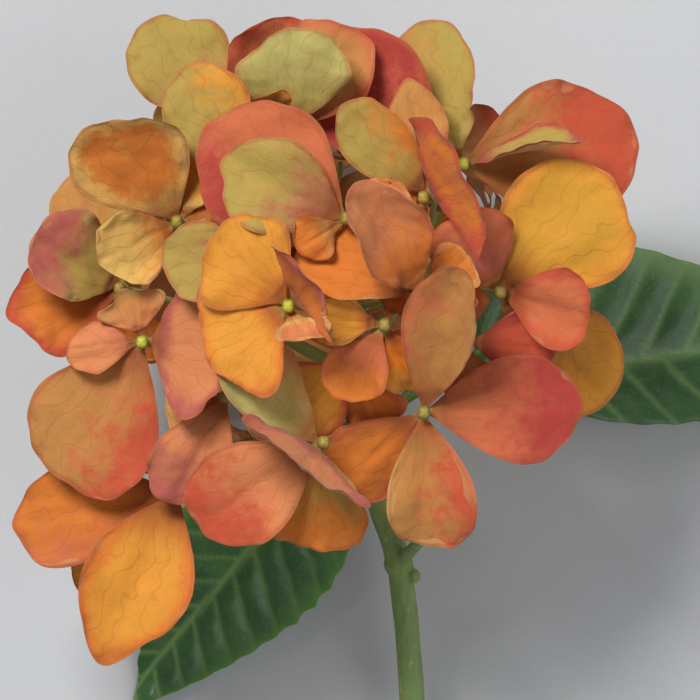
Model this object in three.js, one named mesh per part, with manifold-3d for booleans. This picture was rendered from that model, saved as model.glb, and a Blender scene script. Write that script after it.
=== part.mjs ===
// A cut hydrangea lying on a flat surface: one flower head of four-sepalled florets, two toothed
// leaves and a cut stem. Millimetres. +Z is up from the surface, the face of the head looks up, and the
// stem runs along -Y from the head.
import * as THREE from "three";
import { mergeVertices } from "three/addons/utils/BufferGeometryUtils.js";
import Module from "manifold-3d";

// ---------------------------------------------------------------- driving dimensions
const HEAD_RADIUS = 50; // from the middle of the head to the hubs of its outer florets
const REST_DEPTH = 46; // from the middle of the head down to the surface it lies on
const SEPAL_LENGTH = 31;
const SEPAL_WIDTH = 29;
const SEPAL_THICKNESS = 0.6;
const HUB_RADIUS = 1.7; // the small disc that four sepals grow from
const HUB_HEIGHT = 1.1;
const BUD_RADIUS = 1.7; // the bead-like closed flower at the middle of each floret
const PEDICEL_RADIUS = 0.8; // the thin stalk under each floret
const RAY_RADIUS = 1.5; // the thicker stalks that carry the pedicels
const STEM_RADIUS = 3.5;
const STEM_LENGTH = 230; // from the middle of the head to the cut end, along the stem
const LEAF_THICKNESS = 0.8;
const LEFT_LEAF_LENGTH = 84;
const LEFT_LEAF_WIDTH = 47;
const RIGHT_LEAF_LENGTH = 92;
const RIGHT_LEAF_WIDTH = 64;
const LEFT_PETIOLE_LENGTH = 13;
const RIGHT_PETIOLE_LENGTH = 24;
const PETIOLE_RADIUS = 1.5;
const TEETH_PER_SIDE = 13;
const TOOTH_DEPTH = 1.6;
const GAP = 0.3; // between pieces that touch

const UP = new THREE.Vector3(0, 0, 1);
const wasm = await Module();
wasm.setup();

// ---------------------------------------------------------------- what grows where
// Directions are compass angles seen from above: 0 along +X, 90 along +Y. Places are shares of HEAD_RADIUS
// from the middle of the head.

// One sepal. aim: its direction. rise: degrees that it lifts out of level. long, wide: shares of
// SEPAL_LENGTH and SEPAL_WIDTH. roll: degrees turned about its midrib, positive to face anticlockwise.
// bend: degrees that its tip curls up (negative: droops). cup: degrees that each side curls up.
// point: how far its tip is drawn out. wave: how far its rim ripples, in mm.
function sepal(aim, rise, long, wide, roll = 0, bend = -15, cup = 12, point = 0, wave = 0.5) {
  return { aim, rise, long, wide, roll, bend, cup, point, wave };
}

// Florets that the head rests on, then the florets seen from above from the middle outwards, then the
// sides. An earlier floret keeps its shape, and a later one bends its sepals clear of it.
// ray: the stalk that its pedicel branches from. facing: where its hub looks. A floret with sepals of its
// own gives their angles from above; the others have a plain whorl around their facing.
const FLORETS = [
  { name: "back_top", at: [-0.05, 0.6, -0.5], facing: [0.0, 0.5, -1], ray: "top", turn: 20, rests: true },
  { name: "back_left", at: [-0.62, 0.02, -0.5], facing: [-0.5, 0.1, -1], ray: "left", turn: 48, rests: true },
  { name: "back_middle", at: [0.2, 0.02, -0.5], facing: [0.2, 0.1, -1], ray: "right", turn: 35, rests: true },
  {
    name: "centre",
    at: [-0.2, -0.03, 1.03],
    ray: "front",
    sepals: [
      sepal(136, 14, 0.78, 1.05, 0, -22, 12),
      sepal(214, 6, 0.74, 1.15, 0, -12, 8, 0.06),
      sepal(36, 40, 0.78, 1.05, 0, 62, 40),
      sepal(-66, 40, 0.5, 0.55, 0, 10, 20),
    ],
  },
  {
    name: "curled",
    at: [0.45, 0.03, 0.98],
    ray: "front",
    sepals: [
      sepal(126, 20, 1.1, 1.1, -15, 10, 75, 0.06),
      sepal(150, 4, 1.1, 0.75, 0, -20, 20),
      sepal(-40, 0, 0.45, 0.55),
      sepal(40, -15, 0.5, 0.6),
    ],
  },
  {
    name: "low_right",
    at: [0.45, -0.54, 0.8],
    ray: "branch",
    sepals: [
      sepal(78, 22, 1.4, 0.75, 25, 0, 30),
      sepal(3, 4, 1.25, 1.0, 0, -18, 8),
      sepal(275, 0, 1.1, 0.82, 0, -18, 18, 0, 0.8),
      sepal(222, -2, 1.05, 0.8, 0, -20, 15),
    ],
  },
  {
    name: "inner_right",
    at: [0.26, -0.12, 0.93],
    ray: "front",
    sepals: [
      sepal(172, 14, 0.6, 0.6, 0, -20, 15),
      sepal(-62, 12, 0.78, 0.65, 0, -25, 20),
      sepal(240, 4, 0.7, 0.65),
      sepal(60, -20, 0.5, 0.5),
    ],
  },
  {
    name: "top_middle",
    at: [0.08, 0.39, 0.96],
    ray: "front",
    sepals: [
      sepal(155, 20, 1.02, 0.92, 0, -22, 14, 0.12),
      sepal(146, 2, 1.3, 1.3, 0, -15, 8),
      sepal(212, 10, 0.55, 0.55),
      sepal(20, -22, 0.6, 0.6),
    ],
  },
  {
    name: "low_middle",
    at: [-0.05, -0.7, 0.82],
    facing: [0.35, 0.25, 0.9],
    ray: "low",
    sepals: [
      sepal(233, 64, 0.75, 1.4, 0, 15, 5),
      sepal(133, 16, 1.25, 0.8, -20, -15, 15, 0.05),
      sepal(213, -4, 1.25, 1.0, 0, -20, 12),
      sepal(268, -6, 0.9, 1.05, 0, -15, 10),
    ],
  },
  {
    name: "drooping_left",
    at: [-0.76, -0.93, 0.44],
    facing: [-0.7, -0.35, 0.6],
    ray: "low",
    sepals: [
      sepal(248, 14, 1.4, 1.1, 0, -12, 26, 0.14),
      sepal(192, 5, 1.42, 0.95, 0, -20, 20, 0.06),
      sepal(229, -20, 1.3, 0.85, 0, -10, 10),
      sepal(110, -5, 0.4, 0.5),
    ],
  },
  {
    name: "left_eye",
    at: [-0.91, -0.2, 0.58],
    ray: "left",
    sepals: [
      sepal(-5, 40, 0.85, 1.4, 0, 12, 14),
      sepal(239, 2, 1.3, 1.25, 0, -15, 10),
      sepal(185, 6, 0.62, 0.5),
      sepal(108, 22, 0.42, 0.6),
    ],
  },
  {
    name: "inner_top_left",
    at: [-0.29, 0.24, 0.9],
    ray: "front",
    sepals: [
      sepal(190, 0, 0.85, 0.8, 0, -18, 12),
      sepal(-12, 6, 0.8, 0.45, 15, -20, 15, 0.1),
      sepal(95, -18, 0.5, 0.5),
      sepal(262, -8, 0.5, 0.55),
    ],
  },
  {
    name: "right",
    at: [0.82, 0.04, 0.66],
    ray: "right",
    sepals: [
      sepal(46, 14, 1.25, 1.3, 0, -10, 10),
      sepal(122, 34, 0.75, 0.85, 0, -20, 15),
      sepal(-16, 18, 0.85, 0.75, -10, -15, 30),
      sepal(-44, -14, 1.3, 1.0, 0, -12, 10),
    ],
  },
  {
    name: "top_right_eye",
    at: [0.64, 0.66, 0.62],
    ray: "right",
    sepals: [
      sepal(8, 24, 1.0, 0.6, 72, -10, 20),
      sepal(8, 0, 1.4, 1.4, 0, -14, 8),
      sepal(215, 6, 0.5, 0.55),
      sepal(110, 10, 0.5, 0.5),
    ],
  },
  {
    name: "folded_right",
    at: [0.47, 0.5, 0.82],
    facing: [-0.35, -0.05, 0.9],
    ray: "right",
    sepals: [
      sepal(27, 62, 0.65, 1.5, 0, -10, 8),
      sepal(132, 16, 1.0, 0.65, 0, -20, 15),
      sepal(98, 16, 0.9, 0.6, -10, -20, 20, 0.1),
      sepal(250, -10, 0.5, 0.55),
    ],
  },
  {
    name: "below_centre",
    at: [0.12, -0.3, 0.72],
    ray: "front",
    sepals: [
      sepal(228, 4, 1.0, 1.1, 0, -18, 10),
      sepal(290, -4, 0.6, 0.6),
      sepal(5, -10, 0.5, 0.5),
      sepal(110, -15, 0.45, 0.5),
    ],
  },
  {
    name: "inner_left",
    at: [-0.5, -0.46, 0.72],
    ray: "left",
    sepals: [
      sepal(243, 2, 0.98, 0.75, 0, -20, 10),
      sepal(108, 0, 0.85, 0.65),
      sepal(190, -12, 0.6, 0.6),
      sepal(335, -10, 0.55, 0.6),
    ],
  },
  {
    name: "upper_left",
    at: [-0.44, 0.6, 0.74],
    ray: "top",
    sepals: [
      sepal(120, 12, 0.95, 0.9, 0, -20, 10),
      sepal(172, 40, 0.7, 0.55, 30, 0, 20),
      sepal(25, -14, 0.55, 0.6),
      sepal(262, -10, 0.5, 0.55),
    ],
  },
  {
    name: "cupped_left",
    at: [-0.74, 0.38, 0.6],
    ray: "left",
    sepals: [
      sepal(122, 16, 1.2, 1.15, 0, 30, 50),
      sepal(62, 22, 0.75, 0.75, 0, -10, 25),
      sepal(10, 26, 0.75, 0.9, 0, -20, 20),
      sepal(205, 14, 0.7, 0.8, 0, 10, 35),
    ],
  },
  {
    name: "crown_middle",
    at: [-0.2, 0.82, 0.52],
    ray: "top",
    sepals: [
      sepal(88, 34, 0.88, 1.05, 0, -25, -8),
      sepal(64, 4, 0.95, 1.0, 0, -10, 8),
      sepal(142, 38, 0.75, 0.85, 0, 15, 25),
      sepal(-60, 0, 0.4, 0.5),
    ],
  },
  {
    name: "left",
    at: [-1.02, 0.06, 0.3],
    ray: "left",
    sepals: [
      sepal(150, 30, 0.95, 0.9, -15, -10, 24),
      sepal(192, 10, 0.92, 0.95, 0, 10, 24, 0.1),
      sepal(112, -6, 1.0, 0.9),
      sepal(275, -30, 0.75, 0.8),
    ],
  },
  {
    name: "inner_low_right",
    at: [0.66, -0.2, 0.7],
    ray: "right",
    sepals: [
      sepal(4, 14, 0.78, 0.75, 0, -15, 22),
      sepal(100, -12, 0.5, 0.55),
      sepal(190, -14, 0.5, 0.55),
      sepal(280, -12, 0.5, 0.55),
    ],
  },
  {
    name: "crown_left",
    at: [-0.5, 0.9, 0.24],
    ray: "top",
    sepals: [
      sepal(130, 0, 1.0, 1.0, 0, -10, 10),
      sepal(52, 2, 0.95, 0.95, 0, -10, 10),
      sepal(205, -28, 0.8, 0.8),
      sepal(-30, -34, 0.7, 0.7),
    ],
  },
  {
    name: "crown_right",
    at: [0.54, 0.68, 0.36],
    ray: "right",
    sepals: [
      sepal(138, 6, 1.3, 1.2, 0, -10, 8),
      sepal(92, -6, 1.2, 0.85, 0, -5, 42),
      sepal(20, -38, 0.9, 0.85),
      sepal(250, -26, 0.6, 0.6),
    ],
  },
  { name: "side_top", at: [0.05, 0.72, -0.05], facing: [0.1, 1, -0.1], ray: "top", turn: 30 },
  { name: "side_left", at: [-0.88, 0.25, -0.12], facing: [-1, 0.25, -0.2], ray: "left", turn: 10 },
  { name: "side_right", at: [0.8, 0.42, 0.0], facing: [1, 0.45, -0.1], ray: "right", turn: 45 },
  { name: "side_low", at: [-0.4, -0.66, 0.1], facing: [-0.4, -0.8, 0.1], ray: "low", turn: 15 },
];

// A plain whorl: an outer pair of sepals and an inner pair that lifts a little more.
const PLAIN_WHORL = [
  sepal(0, 8, 0.85, 0.9, 0, -14, 12),
  sepal(90, 18, 0.78, 0.85, 0, -14, 12),
  sepal(180, 8, 0.85, 0.9, 0, -14, 12),
  sepal(270, 18, 0.78, 0.85, 0, -14, 12),
];

// The stalks inside the head, each from CORE to the point where its pedicels branch.
const CORE = [0.1, -0.36, -0.2];
const RAYS = {
  front: [0.04, -0.05, 0.38],
  left: [-0.34, -0.12, 0.12],
  top: [-0.12, 0.34, 0.06],
  right: [0.4, 0.1, 0.12],
  low: [-0.16, -0.5, 0.14],
};

// ---------------------------------------------------------------- small helpers
const radians = THREE.MathUtils.degToRad;

function inHead(share) {
  return new THREE.Vector3(...share).multiplyScalar(HEAD_RADIUS);
}

function meshGeometry(points, triangles) {
  const geometry = new THREE.BufferGeometry();
  geometry.setAttribute("position", new THREE.Float32BufferAttribute(points.flatMap((p) => p.toArray()), 3));
  geometry.setIndex(triangles.flat());
  return geometry;
}

function toSolid(geometry) {
  const bare = geometry.clone();
  bare.deleteAttribute("normal");
  bare.deleteAttribute("uv");
  const merged = mergeVertices(bare, 1e-4);
  return new wasm.Manifold(
    new wasm.Mesh({
      numProp: 3,
      vertProperties: merged.attributes.position.array,
      triVerts: new Uint32Array(merged.index.array),
    }),
  );
}

function toGeometry(solid) {
  const mesh = solid.getMesh();
  const geometry = new THREE.BufferGeometry();
  geometry.setAttribute("position", new THREE.Float32BufferAttribute(mesh.vertProperties, 3));
  geometry.setIndex([...mesh.triVerts]);
  return geometry;
}

// Two triangles over the quad a-b-c-d, facing the side from which its corners run anticlockwise.
function quad(a, b, c, d) {
  return [
    [a, b, c],
    [a, c, d],
  ];
}

// ---------------------------------------------------------------- curved blades
// A blade is a thin plate that is flat in x (along) and y (across), then cupped across and bent along.
// sway carries its tip aside, as a share of its length. lift is a height above the plate.
function platePoint(blade, along, across, lift) {
  const curl = radians(blade.cup) / (blade.width / 2);
  const y = Math.abs(curl) < 1e-6 ? across : Math.sin(curl * across) / curl;
  const z = lift + (Math.abs(curl) < 1e-6 ? 0 : (1 - Math.cos(curl * across)) / curl);
  const turn = radians(blade.bend) / blade.length;
  const angle = turn * along;
  const x = Math.abs(turn) < 1e-6 ? along : Math.sin(angle) / turn;
  const up = Math.abs(turn) < 1e-6 ? 0 : (1 - Math.cos(angle)) / turn;
  const aside = ((blade.sway ?? 0) * along * along) / blade.length;
  return new THREE.Vector3(x - z * Math.sin(angle), y + aside, up + z * Math.cos(angle));
}

// The points of a blade's two skins at u (0 root to 1 tip) and v (-1 to 1 across).
function bladePoints(blade, u, v, thickness) {
  const along = blade.length * blade.reach(u, v);
  const across = (blade.width / 2) * blade.outline(u) * v;
  const lift = blade.ripple(u, v);
  const at = (forward, aside) => platePoint(blade, along + forward, across + aside, lift);
  const middle = at(0, 0);
  const step = 0.2;
  const normal = at(step, 0).sub(at(-step, 0)).cross(at(0, step).sub(at(0, -step))).normalize();
  return [1, -1].map((side) => middle.clone().addScaledVector(normal, (side * thickness) / 2));
}

// The matrix that lays a blade's x along aim and rise, with its face turned by roll.
function bladeFrame(aim, rise, roll) {
  const a = radians(aim);
  const r = radians(rise);
  const out = new THREE.Vector3(Math.cos(r) * Math.cos(a), Math.cos(r) * Math.sin(a), Math.sin(r));
  const face = new THREE.Vector3(-Math.sin(r) * Math.cos(a), -Math.sin(r) * Math.sin(a), Math.cos(r));
  face.applyAxisAngle(out, radians(-roll));
  const side = new THREE.Vector3().crossVectors(face, out);
  return new THREE.Matrix4().makeBasis(out, side, face);
}

// The upper and lower skins of a blade as rows of points.
function bladeSkins(blade, rows, columns, frame, thickness) {
  const skin = (side) =>
    rows.map((u) => columns.map((v) => bladePoints(blade, u, v, thickness(u))[side].applyMatrix4(frame)));
  return { upper: skin(0), lower: skin(1) };
}

// The triangles of a grid of rows laid at first, facing up or, when flipped, down. Both split each of
// its cells along the same diagonal, so that two skins a thickness apart don't cross.
function gridTriangles(first, rows, columns, flipped) {
  const triangles = [];
  for (let i = 0; i < rows - 1; i += 1) {
    for (let j = 0; j < columns - 1; j += 1) {
      const near = first + i * columns + j;
      const far = near + columns + 1;
      triangles.push(...(flipped ? quad(near, near + 1, far, far - 1) : quad(near, far - 1, far, near + 1)));
    }
  }
  return triangles;
}

// The rim that joins an upper grid to a lower one along both sides and the tip.
function rimTriangles(upper, lower, rows, columns) {
  const loop = [];
  for (let i = 0; i < rows; i += 1) loop.push(i * columns);
  for (let j = 1; j < columns; j += 1) loop.push((rows - 1) * columns + j);
  for (let i = rows - 2; i >= 0; i -= 1) loop.push(i * columns + columns - 1);
  const triangles = [];
  for (let k = 0; k < loop.length - 1; k += 1) {
    triangles.push(...quad(upper + loop[k], lower + loop[k], lower + loop[k + 1], upper + loop[k + 1]));
  }
  return triangles;
}

// ---------------------------------------------------------------- florets
const HUB_SIDES = 6;
const HUB_DOME = 0.1; // how far each face of the hub rises to its middle
const CLAW_DEPTH = 1.3; // from the middle of the hub to the claw's blunt end inside it
const CLAW_HALF_WIDTH = 0.5;
const CLAW_REACH = 4.2; // from the middle of the hub to where a sepal's blade begins
const SEPAL_ROWS = [0, 0.28, 0.56, 0.8, 1]; // shares of the way from there to the tip
const SEPAL_COLUMNS = [-1, -0.5, 0, 0.5, 1];

function sepalBlade(shape, scale) {
  const length = shape.long * SEPAL_LENGTH * scale;
  const start = CLAW_REACH / length;
  return {
    start,
    length,
    width: shape.wide * SEPAL_WIDTH * scale,
    bend: shape.bend,
    cup: shape.cup,
    outline: (u) => Math.sin(Math.PI * (0.085 + (0.7 * (u - start)) / (1 - start))) ** 1.15,
    reach: (u, v) => u - 0.09 * (u * v) ** 2 + shape.point * u ** 4 * (1 - Math.abs(v)) ** 2,
    ripple: (u, v) => shape.wave * u * u * Math.sin(2.2 * Math.PI * v + shape.aim),
  };
}

function floretFrame(floret, facing) {
  if (floret.sepals) return new THREE.Matrix4();
  const turned = new THREE.Matrix4().makeRotationZ(radians(floret.turn));
  const lean = new THREE.Quaternion().setFromUnitVectors(UP, facing);
  return new THREE.Matrix4().makeRotationFromQuaternion(lean).multiply(turned);
}

function sepalSkins(floret, shape, change, thickness) {
  const frame = new THREE.Matrix4().makeTranslation(floret.hub);
  frame.multiply(floret.frame);
  frame.multiply(bladeFrame(shape.aim + change.aim, shape.rise + change.rise, shape.roll + change.roll));
  const blade = sepalBlade({ ...shape, bend: shape.bend + change.bend }, change.scale);
  const rows = SEPAL_ROWS.map((share) => blade.start + (1 - blade.start) * share);
  return bladeSkins(blade, rows, SEPAL_COLUMNS, frame, () => thickness);
}

// The closed solid of one sepal's blade. root closes it from its first row: straight across, or by a claw.
function sepalSolid(skins, root) {
  const rows = SEPAL_ROWS.length;
  const columns = SEPAL_COLUMNS.length;
  const count = rows * columns;
  const points = [...skins.upper.flat(), ...skins.lower.flat()];
  const triangles = [
    ...gridTriangles(0, rows, columns, false),
    ...gridTriangles(count, rows, columns, true),
    ...rimTriangles(0, count, rows, columns),
  ];
  root(points, triangles, count, columns - 1);
  return toSolid(meshGeometry(points, triangles));
}

function straightRoot(points, triangles, low, last) {
  for (let j = 0; j < last; j += 1) triangles.push(...quad(j, j + 1, low + j + 1, low + j));
}

// A claw narrows from the blade's first row to a blunt end inside the hub.
function clawRoot(floret, skins) {
  const { hub, facing } = floret;
  const out = skins.upper[0][2].clone().add(skins.lower[0][2]).multiplyScalar(0.5).sub(hub);
  out.projectOnPlane(facing).normalize();
  const side = new THREE.Vector3().crossVectors(facing, out);
  return (points, triangles, low, last) => {
    const middle = last / 2;
    const corner = (aside, height) => {
      const point = hub.clone().addScaledVector(out, CLAW_DEPTH).addScaledVector(side, aside * CLAW_HALF_WIDTH);
      return points.push(point.addScaledVector(facing, height * SEPAL_THICKNESS / 2)) - 1;
    };
    // the first column lies on the other side of the midrib from side
    const sense = skins.upper[0][0].clone().sub(skins.upper[0][last]).dot(side) > 0 ? 1 : -1;
    const [upperFirst, upperLast] = [corner(sense, 1), corner(-sense, 1)];
    const [lowerFirst, lowerLast] = [corner(sense, -1), corner(-sense, -1)];
    for (let j = 0; j < middle; j += 1) {
      triangles.push([upperFirst, j, j + 1], [lowerFirst, low + j + 1, low + j]);
      const k = middle + j;
      triangles.push([upperLast, k, k + 1], [lowerLast, low + k + 1, low + k]);
    }
    triangles.push([upperFirst, middle, upperLast], [lowerFirst, lowerLast, low + middle]);
    triangles.push(...quad(upperFirst, lowerFirst, low, 0), ...quad(last, low + last, lowerLast, upperLast));
    triangles.push(...quad(upperFirst, upperLast, lowerLast, lowerFirst));
  };
}

// The hub: a many-sided disc whose faces rise a little to their middles.
function hubSolid({ hub, facing }) {
  const across = new THREE.Vector3(1, 0, 0).projectOnPlane(facing);
  if (across.length() < 0.3) across.set(0, 1, 0).projectOnPlane(facing);
  across.normalize();
  const along = new THREE.Vector3().crossVectors(facing, across);
  const points = [];
  for (const height of [HUB_HEIGHT / 2 - HUB_DOME, HUB_DOME - HUB_HEIGHT / 2]) {
    for (let k = 0; k < HUB_SIDES; k += 1) {
      const angle = (2 * Math.PI * k) / HUB_SIDES;
      const point = hub.clone().addScaledVector(facing, height);
      point.addScaledVector(across, HUB_RADIUS * Math.cos(angle));
      points.push(point.addScaledVector(along, HUB_RADIUS * Math.sin(angle)));
    }
  }
  const top = points.push(hub.clone().addScaledVector(facing, HUB_HEIGHT / 2)) - 1;
  const bottom = points.push(hub.clone().addScaledVector(facing, -HUB_HEIGHT / 2)) - 1;
  const triangles = [];
  for (let k = 0; k < HUB_SIDES; k += 1) {
    const next = (k + 1) % HUB_SIDES;
    triangles.push([top, k, next], [bottom, HUB_SIDES + next, HUB_SIDES + k]);
    triangles.push(...quad(k, HUB_SIDES + k, HUB_SIDES + next, next));
  }
  return toSolid(meshGeometry(points, triangles));
}

// One floret: its sepals grown together at the hub.
function floretGeometry(floret) {
  const sepals = floret.skins.map((skins) => sepalSolid(skins, clawRoot(floret, skins)));
  return toGeometry(wasm.Manifold.union([hubSolid(floret), ...sepals]));
}

function budCentre({ hub, facing }) {
  return hub.clone().addScaledVector(facing, HUB_HEIGHT / 2 + GAP + BUD_RADIUS);
}

function ball(radius, centre) {
  return new THREE.SphereGeometry(radius, 8, 6).translate(...centre.toArray());
}

function budGeometry(floret) {
  return ball(BUD_RADIUS, budCentre(floret));
}

// ---------------------------------------------------------------- stem
// A round stalk along a curve through points, from one radius to another, without a twist. slant cuts its
// far end askew.
function stalk(points, from, to, sides = 8, steps = 4, slant = 0) {
  const curve = new THREE.CatmullRomCurve3(points);
  const count = steps * (points.length - 1);
  const skin = [];
  const triangles = [];
  const side = new THREE.Vector3(1, 0.1, 0);
  for (let i = 0; i <= count; i += 1) {
    const t = i / count;
    const centre = curve.getPoint(t);
    const out = curve.getTangent(t);
    side.projectOnPlane(out).normalize();
    const rise = new THREE.Vector3().crossVectors(out, side);
    const radius = THREE.MathUtils.lerp(from, to, t);
    for (let k = 0; k < sides; k += 1) {
      const angle = (2 * Math.PI * k) / sides;
      const point = centre.clone().addScaledVector(side, radius * Math.cos(angle));
      point.addScaledVector(rise, radius * Math.sin(angle));
      if (i === count) point.addScaledVector(out, slant * radius * Math.cos(angle));
      skin.push(point);
    }
  }
  for (let i = 0; i < count; i += 1) {
    for (let k = 0; k < sides; k += 1) {
      const next = (k + 1) % sides;
      const a = i * sides;
      triangles.push(...quad(a + k, a + next, a + sides + next, a + sides + k));
    }
  }
  for (let k = 1; k < sides - 1; k += 1) {
    triangles.push([0, k + 1, k]);
    triangles.push([count * sides, count * sides + k, count * sides + k + 1]);
  }
  return toSolid(meshGeometry(skin, triangles));
}

// ---------------------------------------------------------------- assembly
const core = inHead(CORE);
// The stem's joints and bends, in mm from the middle of the head: the joint that the leaves leave from, the
// fork that low_right's long shoot leaves from, and the way down to the surface.
const leafNode = new THREE.Vector3(12, -27, -17);
const neckBend = new THREE.Vector3(11, -46, -20);
const forkPoint = new THREE.Vector3(17, -66, -23);
const shootBend = new THREE.Vector3(24, -56, -4);
const lowerBend = new THREE.Vector3(21, -110, -29);
const cutEnd = new THREE.Vector3(25, -STEM_LENGTH, STEM_RADIUS - REST_DEPTH);

// Hubs, facings and frames, with the resting florets lowered until they touch the surface.
for (const floret of FLORETS) {
  floret.hub = inHead(floret.at);
  const outward = floret.facing ?? [floret.at[0] * 0.1, floret.at[1] * 0.1, floret.at[2]];
  floret.facing = new THREE.Vector3(...outward).normalize();
  floret.frame = floretFrame(floret, floret.facing);
  floret.shapes = floret.sepals ?? PLAIN_WHORL;
  if (floret.rests) {
    const still = { aim: 0, rise: 0, roll: 0, bend: 0, scale: 1 };
    const skins = floret.shapes.map((shape) => sepalSkins(floret, shape, still, SEPAL_THICKNESS));
    const heights = skins.flatMap((skin) => [...skin.upper.flat(), ...skin.lower.flat()]).map((p) => p.z);
    floret.hub.z += -REST_DEPTH - Math.min(...heights);
  }
}

// The pedicel reaches its hub squarely from behind.
function pedicelPoints(floret) {
  const foot = floret.hub.clone().addScaledVector(floret.facing, -HUB_HEIGHT / 2 - GAP);
  const neck = foot.clone().addScaledVector(floret.facing, -4);
  const start = floret.ray === "branch" ? forkPoint.clone() : inHead(RAYS[floret.ray]);
  const middle = start.clone().lerp(neck, 0.55).addScaledVector(floret.facing, -2);
  if (floret.ray === "branch") middle.copy(shootBend);
  return [start, middle, neck, foot];
}

const pedicels = FLORETS.map((floret) => {
  const thick = floret.ray === "branch" ? STEM_RADIUS * 0.55 : PEDICEL_RADIUS * 1.3;
  return stalk(pedicelPoints(floret), thick, PEDICEL_RADIUS, 6, 3);
});
const rays = Object.values(RAYS).map((end) => {
  const tip = inHead(end);
  const middle = core.clone().lerp(tip, 0.5);
  return stalk([core, middle, tip], RAY_RADIUS * 1.4, RAY_RADIUS, 8, 3);
});
const knot = new THREE.SphereGeometry(STEM_RADIUS * 1.1, 10, 8);
const bump = new THREE.SphereGeometry(STEM_RADIUS * 0.55, 8, 6);
const mainStalk = stalk(
  [core, leafNode, neckBend, forkPoint, lowerBend, cutEnd],
  STEM_RADIUS * 0.75,
  STEM_RADIUS,
  12,
  5,
  0.5,
);
const stemSolid = wasm.Manifold.union([
  mainStalk,
  toSolid(knot.clone().translate(...leafNode.toArray())),
  toSolid(knot.clone().translate(...forkPoint.toArray())),
  toSolid(bump.translate(forkPoint.x + STEM_RADIUS * 1.1, forkPoint.y - 3, forkPoint.z + 1)),
  ...rays,
  ...pedicels,
]);

// ---------------------------------------------------------------- leaves
const LEAF_STEPS = 2 * TEETH_PER_SIDE;
const PETIOLE_ROWS = 3;

// The outline of a toothed leaf: a narrow petiole, then an egg-shaped blade drawn out to a tip.
function leafBlade(petiole, length, width, bend, cup, bow, sway) {
  const whole = petiole + length;
  const start = petiole / whole;
  const share = (u) => Math.max(0, (u - start) / (1 - start));
  return {
    start,
    length: whole,
    width,
    bend,
    cup,
    sway,
    outline: (u) => {
      const t = share(u);
      const egg = Math.sin(Math.PI * Math.min(1, t) ** 0.72) ** 0.8 * (1 - 0.18 * t);
      const row = Math.round(t * LEAF_STEPS);
      const tooth = row % 2 === 1 ? 0 : ((2 * TOOTH_DEPTH) / width) * Math.sin(Math.PI * Math.min(1, t));
      return Math.max(PETIOLE_RADIUS / (width / 2), egg - tooth);
    },
    reach: (u) => u,
    ripple: (u, v) => share(u) * bow * Math.abs(v) * Math.sin(7 * u + 2 * v),
  };
}

function leafGeometry(blade, root, aim, rise, roll) {
  const rows = [];
  for (let i = 0; i < PETIOLE_ROWS; i += 1) rows.push((blade.start * i) / PETIOLE_ROWS);
  for (let i = 0; i <= LEAF_STEPS; i += 1) {
    rows.push(blade.start + ((1 - blade.start) * i) / LEAF_STEPS);
  }
  const columns = [-1, -0.5, 0, 0.5, 1];
  const frame = new THREE.Matrix4().makeTranslation(root).multiply(bladeFrame(aim, rise, roll));
  const thickness = (u) => {
    const thick = 1 - Math.min(1, u / blade.start);
    return LEAF_THICKNESS + thick * (2 * PETIOLE_RADIUS - LEAF_THICKNESS);
  };
  const skins = bladeSkins(blade, rows, columns, frame, thickness);
  const count = rows.length * columns.length;
  const triangles = [
    ...gridTriangles(0, rows.length, columns.length, false),
    ...gridTriangles(count, rows.length, columns.length, true),
    ...rimTriangles(0, count, rows.length, columns.length),
  ];
  for (let j = 0; j < columns.length - 1; j += 1) {
    triangles.push(...quad(j, j + 1, count + j + 1, count + j));
  }
  return meshGeometry([...skins.upper.flat(), ...skins.lower.flat()], triangles);
}

// A leaf's root stands off the stem's knot by GAP, and its tip comes down to the surface.
function leafRoot(side) {
  const clear = STEM_RADIUS * 1.1 + GAP + PETIOLE_RADIUS;
  return leafNode.clone().add(new THREE.Vector3(clear, 0, 0).applyAxisAngle(UP, radians(side)));
}

// side: where around the knot the petiole leaves.
function leafOnSurface(blade, side, aim, roll) {
  const root = leafRoot(side);
  const lowest = (rise) => {
    const geometry = leafGeometry(blade, root, aim, rise, roll);
    geometry.computeBoundingBox();
    return geometry.boundingBox.min.z;
  };
  let high = 20;
  let low = -60;
  for (let pass = 0; pass < 24; pass += 1) {
    const middle = (high + low) / 2;
    if (lowest(middle) > -REST_DEPTH) high = middle;
    else low = middle;
  }
  return leafGeometry(blade, root, aim, high, roll);
}

const leftBlade = leafBlade(LEFT_PETIOLE_LENGTH, LEFT_LEAF_LENGTH, LEFT_LEAF_WIDTH, 14, 8, 1.5, 0);
const rightBlade = leafBlade(RIGHT_PETIOLE_LENGTH, RIGHT_LEAF_LENGTH, RIGHT_LEAF_WIDTH, 12, 8, 1.8, -0.62);
const leaves = {
  leaf_left: leafOnSurface(leftBlade, 195, 232, 6),
  leaf_right: leafOnSurface(rightBlade, 20, 36, -4),
};

// ---------------------------------------------------------------- clearances
// Changes that bend a sepal clear of its neighbours, the least first.
function gentleChanges() {
  const turns = [0, 5, -5, 10, -10, 16, -16, 23, -23, 30, -30];
  const changes = [];
  for (const rise of turns) {
    for (const bend of [0, 14, -14, 28, -28]) {
      for (const roll of [0, 12, -12, 24, -24]) {
        for (const aim of [0, 8, -8]) {
          const cost = Math.abs(rise) + Math.abs(bend) * 0.5 + Math.abs(roll) * 0.5 + Math.abs(aim) * 0.8;
          changes.push({ aim, rise, roll, bend, cost });
        }
      }
    }
  }
  return changes.sort((a, b) => a.cost - b.cost).slice(0, 260);
}

const CHANGES = gentleChanges();
const SHRINKS = [1, 0.88, 0.76, 0.64, 0.52, 0.4, 0.32];

function boxesMeet(a, b) {
  return [0, 1, 2].every((k) => a.min[k] < b.max[k] && b.min[k] < a.max[k]);
}

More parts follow.
